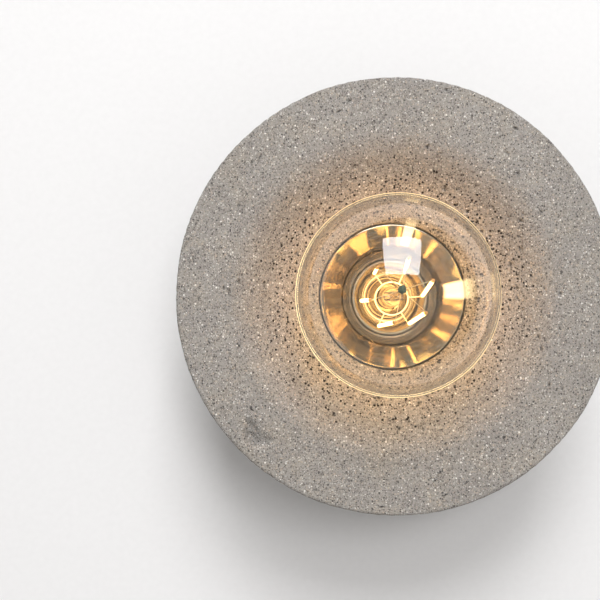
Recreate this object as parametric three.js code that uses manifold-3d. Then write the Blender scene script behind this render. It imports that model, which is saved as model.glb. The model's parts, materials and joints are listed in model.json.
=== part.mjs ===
// A round stone-dish ceiling light with one large clear globe lamp, in millimetres.
// The origin is on the ceiling, on the lamp's axis. +Z points up into the ceiling, so the light hangs below zero.
import * as THREE from 'three';
import { mergeVertices } from 'three/addons/utils/BufferGeometryUtils.js';
import Module from 'manifold-3d';

const wasm = await Module();
wasm.setup();

// Driving dimensions
const gap = 0.3; // running gap between touching pieces
const rimDrop = 100; // ceiling to the dish's flat rim
const dishRadius = 105.2;
const dishHoleRadius = 37.2;
const dishEdge = 10; // thickness of the rim
const funnelRadius = 79; // where the flat rim turns into the funnel
const funnelDepth = 20.5; // rim to the edge of the hole
const dishBackDrop = 66; // ceiling to the back of the dish's boss
const housingRadius = 52;
const housingWall = 1.2;
const housingDrop = 64;
const plateRadius = 49.5;
const plateThick = 2;
const cupLipRadius = 35.6;
const cupThroatRadius = 25.3;
const cupThroatDrop = 73.2;
const cupFloorDrop = 58.9;
const cupWall = 0.8;
const globeRadius = 47.5;
const globeDrop = 114; // ceiling to the globe's centre
const lampLength = 139;
const glassWall = 0.8;
const neckRadius = 13.4;
const capRadius = 13.1;
const capLength = 27;
const shellRadius = 13.5; // inside of the lampholder's screw shell
const strapDrop = 8.5;
const sheet = 1.5; // bracket steel
const dishScrewCircle = 44;
const wireRadius = 1.2;
const filamentLength = 38;
const filamentCount = 6;
const cageDrop = 91; // ceiling to the rear ends of the filaments
const cageRadius = 14.9;

const capTop = -(globeDrop + globeRadius - lampLength); // the lamp's centre contact
const capFront = capTop - capLength;
const cageRear = new THREE.Vector3(-1.2, 1.2, -cageDrop);
const cageFront = new THREE.Vector3(0.7, -2, -cageDrop - filamentLength);
const cageStart = THREE.MathUtils.degToRad(-4);
const cageTwist = THREE.MathUtils.degToRad(-13.5);

const light = new THREE.Group();

// Materials
const finishes = {
  stone: [0x9f9890, 0.9, 0],
  paintedSteel: [0x2b2c2e, 0.55, 0.3],
  zincSteel: [0xa9adb0, 0.4, 1],
  chrome: [0xd9dadc, 0.08, 1],
  brass: [0xc2a05a, 0.3, 1],
  porcelain: [0xe9e6df, 0.35, 0],
  rubber: [0x222222, 0.85, 0],
  nylon: [0xd8d8d2, 0.5, 0],
  glass: [0xf6efe2, 0.05, 0],
  blackGlass: [0x1b1a1e, 0.2, 0],
  board: [0xb08d5a, 0.6, 0],
  phosphor: [0xffd9a0, 0.5, 0],
  brownWire: [0x6b3d22, 0.6, 0],
  blueWire: [0x2f5f9e, 0.6, 0],
  greenWire: [0x6f9a2f, 0.6, 0],
};

function finish(name) {
  const [color, roughness, metalness] = finishes[name];
  return new THREE.MeshStandardMaterial({ color, roughness, metalness });
}

function add(name, finishName, geometry, parent = light) {
  const mesh = new THREE.Mesh(geometry, finish(finishName));
  mesh.name = name;
  parent.add(mesh);
  return mesh;
}

// Geometry helpers. Each one gives a closed body with its faces pointing out.
function weld(geometry) {
  geometry.deleteAttribute('normal');
  geometry.deleteAttribute('uv');
  const merged = mergeVertices(geometry, 1e-4);
  const index = merged.index.array;
  const kept = [];
  for (let i = 0; i < index.length; i += 3) {
    const [a, b, c] = [index[i], index[i + 1], index[i + 2]];
    if (a !== b && b !== c && c !== a) kept.push(a, b, c);
  }
  merged.setIndex(kept);
  return merged;
}

function toSolid(geometry) {
  const merged = weld(geometry);
  const mesh = new wasm.Mesh({
    numProp: 3,
    vertProperties: new Float32Array(merged.attributes.position.array),
    triVerts: new Uint32Array(merged.index.array),
  });
  return new wasm.Manifold(mesh);
}

function toGeometry(solid) {
  const mesh = solid.getMesh();
  const geometry = new THREE.BufferGeometry();
  geometry.setAttribute('position', new THREE.BufferAttribute(mesh.vertProperties, 3));
  geometry.setIndex(new THREE.BufferAttribute(mesh.triVerts, 1));
  geometry.computeVertexNormals();
  return geometry;
}

function cut(body, tools) {
  const rest = tools.reduce((solid, tool) => solid.subtract(toSolid(tool)), toSolid(body));
  return toGeometry(rest);
}

function join(pieces) {
  const whole = pieces.slice(1).reduce((solid, piece) => solid.add(toSolid(piece)), toSolid(pieces[0]));
  return toGeometry(whole);
}

// Turns an outline of [radius, height] points about Z. It starts and ends on the axis, or is closed here.
function revolve(outline, segments) {
  const onAxis = outline[0][0] === 0 && outline.at(-1)[0] === 0;
  const loop = onAxis ? outline : [...outline, outline[0]];
  const turned = loop.slice(1).reduce((sum, [r, z], i) => sum + loop[i][0] * z - r * loop[i][1], 0);
  const points = loop.map(([r, z]) => new THREE.Vector2(r, z));
  if (turned < 0) points.reverse();
  return weld(new THREE.LatheGeometry(points, segments).rotateX(Math.PI / 2));
}

function disc(radius, from, to, segments = 16) {
  const [low, high] = [Math.min(from, to), Math.max(from, to)];
  return revolve([[0, low], [radius, low], [radius, high], [0, high]], segments);
}

function ring(inner, outer, from, to, segments = 20) {
  return revolve([[inner, from], [outer, from], [outer, to], [inner, to]], segments);
}

function block(sizeX, sizeY, sizeZ, x, y, z) {
  return new THREE.BoxGeometry(sizeX, sizeY, sizeZ).translate(x, y, z);
}

// A rod between two points
function rod(start, end, radius, segments = 8) {
  const along = new THREE.Vector3().subVectors(end, start);
  const geometry = new THREE.CylinderGeometry(radius, radius, along.length(), segments);
  const turn = new THREE.Quaternion().setFromUnitVectors(new THREE.Vector3(0, 1, 0), along.clone().normalize());
  const middle = new THREE.Vector3().addVectors(start, end).multiplyScalar(0.5);
  return geometry.applyQuaternion(turn).translate(middle.x, middle.y, middle.z);
}

function wire(points, radius, steps) {
  const path = new THREE.CatmullRomCurve3(points.map((p) => new THREE.Vector3(...p)));
  const section = new THREE.Shape().absarc(0, 0, radius, 0, 2 * Math.PI);
  return new THREE.ExtrudeGeometry(section, { extrudePath: path, steps, curveSegments: 4 });
}

function onCircle(radius, angle, z) {
  return new THREE.Vector3(radius * Math.cos(angle), radius * Math.sin(angle), z);
}

// The part that screws to the ceiling, with the cable entry and the earth
const slotX = 32;
const grommetY = 30;
const earthAt = [24, 20];
const lugCount = 3;
const lugDrop = 8;
const lugThick = 2;
const grubRadius = 2;

function lugAngle(i) {
  return Math.PI / 2 + (i * 2 * Math.PI) / lugCount;
}

function grubHole(i, radius) {
  const angle = lugAngle(i);
  return rod(onCircle(40, angle, -lugDrop), onCircle(60, angle, -lugDrop), radius, 12);
}

function ceilingPlate() {
  const pieces = [disc(plateRadius, 0, -plateThick, 48)];
  for (let i = 0; i < lugCount; i += 1) {
    const lug = block(lugThick, 14, 14, plateRadius - 0.8 - lugThick / 2, 0, -7);
    pieces.push(lug.rotateZ(lugAngle(i)));
  }
  const tools = [block(12, 5, 8, slotX, 0, 0), block(12, 5, 8, -slotX, 0, 0)];
  tools.push(disc(6.3, -4, 2).translate(0, grommetY, 0));
  tools.push(disc(2.2, -4, 2, 12).translate(...earthAt, 0));
  for (let i = 0; i < lugCount; i += 1) tools.push(grubHole(i, grubRadius + gap));
  return cut(join(pieces), tools);
}

function cableGrommet() {
  const outline = [[4.2, -gap], [6, -gap], [6, -2.3], [8, -2.3], [7.4, -4.6], [4.2, -4.6]];
  return revolve(outline, 16).translate(0, grommetY, 0);
}

function earthLug() {
  const eye = ring(2.2, 3.8, -2.3, -3.1);
  const tail = block(2.6, 5, 0.8, 0, -5.6, -2.7);
  return join([eye, tail]).translate(...earthAt, 0);
}

// A pan-head screw that points along -Z from the underside of its head, with a driver slot on top
function panScrew(headRadius, headHeight, shankRadius, shankLength) {
  const head = [[0, headHeight], [headRadius * 0.7, headHeight], [headRadius, headHeight * 0.5], [headRadius, 0]];
  const shank = [[shankRadius, 0], [shankRadius, -shankLength], [0, -shankLength]];
  const slot = block(headRadius * 2.2, 0.8, headHeight, 0, 0, headHeight);
  return cut(revolve([...head, ...shank], 12), [slot]);
}

// Three-pole terminal block under the plate
const poleXs = [-9, 0, 9];
const blockAt = [0, -29];
const poleDrop = 6;

function terminalBlock() {
  const body = block(30, 12, 10, blockAt[0], blockAt[1], -2.3 - 5);
  const tools = poleXs.flatMap((x) => {
    const well = disc(2.4, -7, -13, 16).translate(x, blockAt[1], 0);
    const bore = new THREE.Vector3(x, blockAt[1] - 10, -poleDrop);
    const boreEnd = new THREE.Vector3(x, blockAt[1] + 10, -poleDrop);
    return [well, rod(bore, boreEnd, 1.9, 12)];
  });
  return cut(body, tools);
}

function supplyAssembly() {
  add('ceiling_plate', 'zincSteel', ceilingPlate());
  add('cable_grommet', 'rubber', cableGrommet());
  add('earth_lug', 'zincSteel', earthLug());
  const earthScrew = panScrew(3.4, 2.2, 1.9, 2.8).rotateX(Math.PI).translate(...earthAt, -3.4);
  add('earth_screw', 'brass', earthScrew);
  add('terminal_block', 'nylon', terminalBlock());
  poleXs.forEach((x, i) => {
    const screw = panScrew(2, 1.2, 1.5, 2).rotateX(Math.PI).translate(x, blockAt[1], -10.4);
    add(`terminal_screw_${i + 1}`, 'brass', screw);
  });
}

// Wires from the terminal block to the lampholder and to the earth lug
const holderTerminalY = 13;
const liveRoute = [[-9, -27, -6], [-9, -21, -6], [-8.4, -16.5, -7.6], [-5.6, -13.4, -8.7], [-3, -13, -8.8]];
const neutralRoute = [
  [0, -27, -6], [0.6, -21, -5.2], [8, -14.5, -4.8], [14.5, -4, -4.8],
  [13.5, 7, -5.2], [8, 12.4, -8.2], [3, 13, -8.8],
];
const earthRoute = [[9, -27, -6], [9.6, -21, -5.4], [18, -13, -5], [21.4, 0, -4.6], [23, 7, -4], [23.9, 11.4, -3.6]];

function wiring() {
  add('live_wire', 'brownWire', wire(liveRoute, wireRadius, 14));
  add('neutral_wire', 'blueWire', wire(neutralRoute, wireRadius, 26));
  add('earth_wire', 'greenWire', wire(earthRoute, wireRadius, 22));
}

// Round steel housing, open to the ceiling, with a hole for the cup in its front
function housing() {
  const inner = housingRadius - housingWall;
  const front = -housingDrop;
  const outline = [
    [inner, -gap], [housingRadius, -gap], [housingRadius, front + 2], [housingRadius - 2, front],
    [30, front], [30, front + housingWall], [inner - 1, front + housingWall], [inner, front + housingWall + 1],
  ];
  const tools = [];
  for (let i = 0; i < lugCount; i += 1) tools.push(grubHole(i, grubRadius + gap));
  for (let i = 0; i < 4; i += 1) {
    const hole = onCircle(dishScrewCircle, (i * Math.PI) / 2, 0);
    tools.push(disc(2.3, front - 2, front + 4, 12).translate(hole.x, hole.y, 0));
  }
  return cut(revolve(outline, 48), tools);
}

function housingAssembly() {
  add('housing', 'paintedSteel', housing());
  for (let i = 0; i < lugCount; i += 1) {
    const start = onCircle(44.5, lugAngle(i), -lugDrop);
    const end = onCircle(51.4, lugAngle(i), -lugDrop);
    const socket = rod(onCircle(49.4, lugAngle(i), -lugDrop), onCircle(53, lugAngle(i), -lugDrop), 1.1, 6);
    add(`grub_screw_${i + 1}`, 'zincSteel', cut(rod(start, end, grubRadius, 12), [socket]));
  }
}

// U-shaped bridge that carries the lampholder, with a foot on each side
function holderBracket() {
  const [legX, footX] = [36, 48.5];
  const [top, foot] = [-strapDrop, -(housingDrop - housingWall) + gap];
  const side = [
    [legX, top], [legX, foot + sheet], [footX, foot + sheet],
    [footX, foot], [legX - sheet, foot], [legX - sheet, top - sheet],
  ];
  const outline = [...side, ...side.map(([x, z]) => [-x, z]).reverse()];
  const shape = new THREE.Shape(outline.map(([x, z]) => new THREE.Vector2(x, z)));
  const strap = new THREE.ExtrudeGeometry(shape, { depth: 16, bevelEnabled: false });
  strap.translate(0, 0, -8).rotateX(Math.PI / 2);
  const holes = [disc(5.3, top + 2, top - 4), disc(2.3, foot - 2, foot + 4, 12).translate(dishScrewCircle, 0, 0)];
  holes.push(disc(2.3, foot - 2, foot + 4, 12).translate(-dishScrewCircle, 0, 0));
  return cut(strap, holes);
}

function locknut() {
  const nut = new THREE.CylinderGeometry(8.6, 8.6, 2.7, 6).rotateX(Math.PI / 2).translate(0, 0, -5.95);
  return cut(nut, [disc(5.3, -2, -10)]);
}

// Porcelain base with a recess for the contact tongue and a slot for its leg
const baseTop = -strapDrop - sheet - gap;
const baseFront = -24.3;
const tongueLegX = 9;

function lampholderBase() {
  const outline = [
    [5.3, baseTop], [19, baseTop], [19.5, baseTop - 0.5], [19.5, baseFront], [12, baseFront],
    [12, -19.6], [0, -19.6], [0, -16.4], [5.3, -16.4],
  ];
  const slot = block(2, 6, 6, tongueLegX, 0, -19);
  const screwHoles = [-1, 1].map((side) => disc(1.6, -17, -8, 12).translate(0, side * holderTerminalY, 0));
  return cut(revolve(outline, 32), [slot, ...screwHoles]);
}

function lampholderSkirt() {
  const outline = [
    [15.2, baseFront - gap], [19.5, baseFront - gap], [19.5, -52.6], [24, -54], [24, -57.8],
    [19.9, -57.8], [19.9, -61.2], [19.3, -61.8], [18.2, -61.8], [15.2, -50],
  ];
  return revolve(outline, 32);
}

function screwShell() {
  const wall = 0.6;
  const rear = baseFront - gap;
  const outline = [
    [9, rear], [shellRadius + wall, rear], [shellRadius + wall, -46.4], [shellRadius + 1, -47.2],
    [shellRadius + 0.5, -47.2], [shellRadius, -46.4], [shellRadius, rear - wall], [9, rear - wall],
  ];
  return revolve(outline, 32);
}

// Ribbed ring that screws onto the skirt's nose and clamps the cup's floor
function shadeRing() {
  const outline = [
    [20.2, -59.2], [24.4, -59.2], [24.4, -60.4], [23.6, -60.4], [23.6, -61.1], [22.7, -61.1],
    [22.7, -61.7], [21.8, -61.7], [21.8, -62.2], [20.2, -62.2],
  ];
  return revolve(outline, 32);
}

function contactTongue() {
  const blade = block(12.6, 5, 0.6, 2.9, 0, capTop + gap + 0.3);
  const leg = block(0.6, 5, 4.4, tongueLegX - 0.1, 0, capTop + gap + 2.2);
  return join([blade, leg]);
}

function reflectorCup() {
  const lip = -(rimDrop - funnelDepth) + gap;
  const throat = -cupThroatDrop;
  const floor = -cupFloorDrop;
  const inner = [
    [cupLipRadius, lip], [cupThroatRadius + 0.5, throat - 0.4], [cupThroatRadius, throat + 0.3],
    [cupThroatRadius - 0.2, floor - 1], [cupThroatRadius - 1, floor], [20.4, floor],
  ];
  const outer = [
    [20.4, floor + cupWall], [cupThroatRadius - 0.6, floor + cupWall], [cupThroatRadius + cupWall, floor - 0.6],
    [cupThroatRadius + cupWall, throat + 0.4], [cupLipRadius + 1, lip + 0.5], [cupLipRadius + 0.7, lip],
  ];
  return revolve([...inner, ...outer], 48);
}

function holderAssembly() {
  add('holder_bracket', 'zincSteel', holderBracket());
  add('holder_nipple', 'brass', ring(3.6, 5, -3.8, -16));
  add('lock_washer', 'zincSteel', ring(5.4, 9, -7.6, -8.2));
  add('locknut', 'brass', locknut());
  add('lampholder_base', 'porcelain', lampholderBase());
  [-1, 1].forEach((side, i) => {
    const screw = panScrew(2.6, 1.8, 1.2, 5).translate(0, side * holderTerminalY, baseTop + gap);
    add(`holder_terminal_screw_${i + 1}`, 'brass', screw);
  });
  add('lampholder_skirt', 'chrome', lampholderSkirt());
  add('screw_shell', 'brass', screwShell());
  add('contact_tongue', 'brass', contactTongue());
  add('shade_ring', 'chrome', shadeRing());
  add('reflector_cup', 'chrome', reflectorCup());
}

// Cast stone dish: a flat rim, a funnel down to the hole, and a thick boss that takes the inserts
const insertDepth = 9;

function dishFront() {
  const rim = -rimDrop;
  const bend = 12; // length of the turn from the flat rim into the funnel
  const slope = funnelDepth / (funnelRadius - bend / 2 - dishHoleRadius);
  const points = [];
  for (let i = 0; i <= 5; i += 1) {
    const into = (bend * i) / 5;
    points.push([funnelRadius - into, rim + (slope * into * into) / (2 * bend)]);
  }
  points.push([dishHoleRadius + 0.6, rim + funnelDepth - slope * 0.6], [dishHoleRadius, rim + funnelDepth + 0.4]);
  return points;
}

function stoneDish() {
  const rim = -rimDrop;
  const back = -dishBackDrop;
  const edge = [[dishRadius, rim + dishEdge - 1.4], [dishRadius, rim + 1.6], [dishRadius - 0.5, rim + 0.5]];
  const boss = [[dishHoleRadius, back], [54, back], [56, back - 1.2], [dishRadius - 21, rim + dishEdge + 1.2]];
  const outline = [...boss, [dishRadius - 17, rim + dishEdge], [dishRadius - 1.4, rim + dishEdge], ...edge];
  outline.push([dishRadius - 1.6, rim], ...dishFront());
  const pockets = [0, 1, 2, 3].map((i) => {
    const at = onCircle(dishScrewCircle, (i * Math.PI) / 2, 0);
    return disc(3.3, back + 2, back - insertDepth - 0.3, 16).translate(at.x, at.y, 0);
  });
  return cut(revolve(outline, 64), pockets);
}

function dishGasket() {
  const holes = [0, 1, 2, 3].map((i) => {
    const at = onCircle(dishScrewCircle, (i * Math.PI) / 2, 0);
    return disc(2.6, -60, -70, 12).translate(at.x, at.y, 0);
  });
  return cut(ring(38.6, 50.5, -housingDrop - gap, -dishBackDrop + gap, 32), holes);
}

function dishAssembly() {
  add('stone_dish', 'stone', stoneDish());
  add('dish_gasket', 'rubber', dishGasket());
  const plateTop = -(housingDrop - housingWall);
  for (let i = 0; i < 4; i += 1) {
    const at = onCircle(dishScrewCircle, (i * Math.PI) / 2, 0);
    const insert = ring(2.3, 3, -dishBackDrop - 0.2, -dishBackDrop - insertDepth, 16);
    add(`dish_insert_${i + 1}`, 'brass', insert.translate(at.x, at.y, 0));
    const seat = plateTop + gap + (i % 2 === 0 ? sheet + gap : 0); // two of them also hold the bracket's feet
    const screw = panScrew(3.6, 2.4, 1.9, seat + dishBackDrop + 7);
    add(`dish_screw_${i + 1}`, 'zincSteel', screw.translate(at.x, at.y, seat));
  }
}

// Clear globe lamp with a screw cap
function globeOutline(inset) {
  const radius = globeRadius - inset;
  const centre = -globeDrop;
  const neck = neckRadius - inset;
  const meet = Math.acos(41 / globeRadius); // where the globe turns into the neck
  const path = new THREE.Path();
  path.absarc(0, centre, radius, -Math.PI / 2, Math.PI / 2 - meet, false);
  const [meetR, meetZ] = [radius * Math.sin(meet), centre + radius * Math.cos(meet)];
  const turnZ = meetZ + (meetR - neck) / Math.tan(Math.PI / 2 - meet);
  path.quadraticCurveTo(neck, turnZ, neck, capFront - 0.5);
  return path.getPoints(4).map((p) => [Math.max(p.x, 0), p.y]);
}

function bulbGlass() {
  const outer = globeOutline(0);
  outer[0][0] = 0;
  const inner = globeOutline(glassWall).reverse();
  inner[inner.length - 1][0] = 0;
  const end = [[12.2, capFront - gap], [12.2, capFront + 5], [11.4, capFront + 5]];
  return revolve([...outer, ...end, ...inner], 36);
}

function capShell() {
  const rear = capTop - 6.8;
  const outline = [[12.6, rear], [capRadius, rear - 0.4], [capRadius, capFront], [12.6, capFront]];
  return revolve(outline, 32);
}

function capInsulator() {
  const outline = [[0, capTop - 2.3], [6.4, capTop - 2.3], [12.4, capTop - 6.2], [12.4, capTop - 6.5], [0, capTop - 6.5]];
  return revolve(outline, 32);
}

function capContact() {
  return revolve([[0, capTop], [3.6, capTop], [4.8, capTop - 0.9], [4.8, capTop - 2], [0, capTop - 2]], 24);
}

function driverBoard() {
  const can = disc(3, capTop - 12, capTop - 18, 12).translate(4, 2, 0);
  const coil = block(4, 5, 4, -4, -2, capTop - 14.2);
  return join([disc(10.5, capTop - 11, capTop - 12.2), can, coil]);
}

// Glass stem: a flare inside the neck that narrows to a tube and ends in a flat pinch
const pinchFront = -cageDrop + 1.4;
const leadX = 2.4;

function glassStem() {
  const flare = capFront + 3.6;
  const outline = [
    [11, flare], [6.4, flare - 7], [5.2, flare - 14], [5, pinchFront + 8], [0, pinchFront + 6],
    [0, pinchFront + 7], [4.2, pinchFront + 9], [4.4, flare - 14], [5.6, flare - 7.4], [10.2, flare],
  ];
  const pinch = block(9, 3.4, 7.6, 0, 0, pinchFront + 3.8);
  const channels = [-leadX, leadX].map((x) => disc(0.7, pinchFront - 1, pinchFront + 12, 8).translate(x, 0, 0));
  return cut(join([revolve(outline, 16), pinch]), channels);
}

function leadWire(side) {
  const x = side * leadX;
  const route = [[x, 0, capTop - 20], [x, 0, -60], [x, 0, pinchFront + 2], [x, 0, pinchFront - 0.2]];
  return wire(route, 0.35, 10);
}

// A point on the lamp's cage: 0 is the filaments' rear ends and 1 their front tips
function cagePoint(i, share, radius = cageRadius) {
  const centre = new THREE.Vector3().lerpVectors(cageRear, cageFront, share);
  const angle = cageStart + (i * 2 * Math.PI) / filamentCount + cageTwist * share;
  return centre.add(new THREE.Vector3(radius * Math.cos(angle), radius * Math.sin(angle), 0));
}

function carrier(share, hubInner, hubOuter, spokeEnd) {
  const centre = new THREE.Vector3().lerpVectors(cageRear, cageFront, share);
  const hub = ring(hubInner, hubOuter, -0.4, 0.4).translate(centre.x, centre.y, centre.z);
  const spokes = [];
  for (let i = 0; i < filamentCount; i += 1) {
    spokes.push(rod(cagePoint(i, share, hubOuter - 0.3), cagePoint(i, share, spokeEnd), 0.35, 6));
  }
  return join([hub, ...spokes]);
}

function centreRod() {
  const start = new THREE.Vector3().lerpVectors(cageRear, cageFront, 0);
  const end = cageFront.clone().add(new THREE.Vector3(0, 0, -1.8));
  const bead = new THREE.SphereGeometry(2, 12, 8).translate(end.x, end.y, end.z - 1);
  return join([rod(start, end, 1.1, 10), bead]);
}

function lamp() {
  add('bulb_glass', 'glass', bulbGlass());
  add('cap_shell', 'chrome', capShell());
  add('cap_insulator', 'blackGlass', capInsulator());
  add('cap_contact', 'brass', capContact());
  add('driver_board', 'board', driverBoard());
  add('glass_stem', 'glass', glassStem());
  add('lead_wire_1', 'zincSteel', leadWire(-1));
  add('lead_wire_2', 'zincSteel', leadWire(1));
  add('rear_carrier', 'zincSteel', carrier(0.02, 7.8, 8.4, cageRadius - 1.3));
  add('front_carrier', 'zincSteel', carrier(0.98, 1.5, 2.4, cageRadius - 1.3));
  add('centre_rod', 'glass', centreRod());
  for (let i = 0; i < filamentCount; i += 1) {
    add(`filament_${i + 1}`, 'phosphor', rod(cagePoint(i, 0), cagePoint(i, 1), 0.9, 8));
  }
}

supplyAssembly();
wiring();
housingAssembly();
holderAssembly();
dishAssembly();
lamp();

export default light;
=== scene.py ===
import json
import math
import random

import bpy
import numpy as np
from mathutils import Matrix, Vector


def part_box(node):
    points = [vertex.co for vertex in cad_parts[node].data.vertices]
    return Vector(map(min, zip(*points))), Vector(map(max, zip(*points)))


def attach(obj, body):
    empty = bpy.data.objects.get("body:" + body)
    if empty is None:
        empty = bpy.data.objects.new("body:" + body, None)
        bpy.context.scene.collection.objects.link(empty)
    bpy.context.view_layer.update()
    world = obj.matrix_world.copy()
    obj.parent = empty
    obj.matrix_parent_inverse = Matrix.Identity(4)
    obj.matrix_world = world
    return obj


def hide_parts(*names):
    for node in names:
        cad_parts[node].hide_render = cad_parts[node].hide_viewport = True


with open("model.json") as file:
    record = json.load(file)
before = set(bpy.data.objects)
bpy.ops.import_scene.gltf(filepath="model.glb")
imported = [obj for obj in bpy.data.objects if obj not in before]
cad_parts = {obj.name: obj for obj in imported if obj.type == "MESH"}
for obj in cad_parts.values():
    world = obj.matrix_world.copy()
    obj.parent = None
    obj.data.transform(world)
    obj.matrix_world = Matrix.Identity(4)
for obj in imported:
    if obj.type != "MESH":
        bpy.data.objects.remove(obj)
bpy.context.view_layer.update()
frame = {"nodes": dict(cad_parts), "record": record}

nodes = frame["nodes"]
record = frame["record"]
print("frame loaded:", len(nodes), "nodes")

mm = 0.001


# Selecting and shaping

def clearSelection():
    if bpy.context.mode != "OBJECT":
        bpy.ops.object.mode_set(mode="OBJECT")
    bpy.ops.object.select_all(action="DESELECT")


def takeUp(piece):
    clearSelection()
    piece.select_set(True)
    bpy.context.view_layer.objects.active = piece


def nameIt(piece, name):
    piece.name = name
    piece.data.name = name
    return piece


def settle(piece, name, smoothAngle=35):
    # the place goes into the mesh, and soft edges are shaded smooth
    takeUp(piece)
    bpy.ops.object.transform_apply(location=True, rotation=True, scale=True)
    bpy.ops.object.shade_smooth_by_angle(angle=math.radians(smoothAngle))
    return nameIt(piece, name)


def applyModifiers(piece):
    takeUp(piece)
    for modifier in list(piece.modifiers):
        bpy.ops.object.modifier_apply(modifier=modifier.name)


def arcPoints(centreR, centreZ, radius, start, end, count):
    # points of an arc in the radius-height plane, in degrees from the outward direction
    angles = [math.radians(start + (end - start) * i / count) for i in range(count + 1)]
    return [(centreR + radius * math.cos(a), centreZ + radius * math.sin(a)) for a in angles]


def curvePoints(start, control, end, count):
    shares = [i / count for i in range(count + 1)]
    return [
        tuple((1 - t) ** 2 * a + 2 * t * (1 - t) * b + t * t * c for a, b, c in zip(start, control, end))
        for t in shares
    ]


def roundCorners(outline, radius, count=3):
    # swaps each corner for a short curve
    rounded = []
    for i, point in enumerate(outline):
        here = Vector(point)
        before = Vector(outline[i - 1]) - here
        after = Vector(outline[(i + 1) % len(outline)]) - here
        reach = min(radius, before.length * 0.45, after.length * 0.45)
        start = here + before.normalized() * reach
        end = here + after.normalized() * reach
        rounded.extend(curvePoints(start, here, end, count))
    return rounded


def closeSeams():
    # in edit mode, joins points that lie together and turns every face outward
    bpy.ops.mesh.select_all(action="SELECT")
    bpy.ops.mesh.remove_doubles(threshold=0.002 * mm)
    bpy.ops.mesh.normals_make_consistent(inside=False)
    bpy.ops.object.mode_set(mode="OBJECT")


def turnOutline(name, outline, steps, smoothAngle=35, closed=True):
    # draws the outline as a chain of edges and spins it round the axis
    clearSelection()
    path = list(outline) + ([outline[0]] if closed else [])
    bpy.ops.mesh.primitive_plane_add(size=mm, location=(path[0][0], 0, path[0][1]))
    piece = bpy.context.object
    bpy.ops.object.transform_apply(location=True, rotation=True, scale=True)
    bpy.ops.object.mode_set(mode="EDIT")
    bpy.ops.mesh.select_mode(type="VERT")
    bpy.ops.mesh.select_all(action="SELECT")
    bpy.ops.mesh.merge(type="CENTER")
    for (oldR, oldZ), (newR, newZ) in zip(path, path[1:]):
        bpy.ops.mesh.extrude_vertices_move(TRANSFORM_OT_translate={"value": (newR - oldR, 0, newZ - oldZ)})
    bpy.ops.mesh.select_all(action="SELECT")
    bpy.ops.mesh.spin(steps=steps, angle=2 * math.pi, center=(0, 0, 0), axis=(0, 0, 1))
    closeSeams()
    return settle(piece, name, smoothAngle)


def readPoints(piece):
    points = np.zeros(len(piece.data.vertices) * 3)
    piece.data.vertices.foreach_get("co", points)
    return points.reshape(-1, 3)


def writePoints(piece, points):
    piece.data.vertices.foreach_set("co", points.reshape(-1))
    piece.data.update()


def drawWire(name, points, radius, sides=8, closed=False):
    # a round wire through the points
    clearSelection()
    line = bpy.data.curves.new(name, "CURVE")
    line.dimensions = "3D"
    line.bevel_depth = radius
    line.bevel_resolution = max(1, sides // 4)
    line.use_fill_caps = True
    spline = line.splines.new("NURBS")
    spline.points.add(len(points) - 1)
    for spot, place in zip(spline.points, points):
        spot.co = (*place, 1)
    spline.use_cyclic_u = closed
    spline.order_u = 4
    spline.use_endpoint_u = not closed
    spline.resolution_u = 6
    piece = bpy.data.objects.new(name, line)
    bpy.context.scene.collection.objects.link(piece)
    takeUp(piece)
    bpy.ops.object.convert(target="MESH")
    piece = bpy.context.object
    bpy.ops.object.mode_set(mode="EDIT")
    closeSeams()
    return settle(piece, name, 60)


def joinPieces(name, pieces):
    takeUp(pieces[0])
    for piece in pieces:
        piece.select_set(True)
    bpy.context.view_layer.objects.active = pieces[0]
    if len(pieces) > 1:
        bpy.ops.object.join()
    return nameIt(bpy.context.object, name)


def cutAway(piece, cutter):
    takeUp(piece)
    cut = piece.modifiers.new("cut", "BOOLEAN")
    cut.operation = "DIFFERENCE"
    cut.solver = "EXACT"
    cut.object = cutter
    bpy.ops.object.modifier_apply(modifier=cut.name)
    bpy.data.objects.remove(cutter)
    return piece


def fit(piece, material, body, slotName, *replaced):
    piece.data.materials.clear()
    piece.data.materials.append(material)
    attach(piece, body)
    if replaced:
        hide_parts(*replaced)
    return piece


# Building materials

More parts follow.
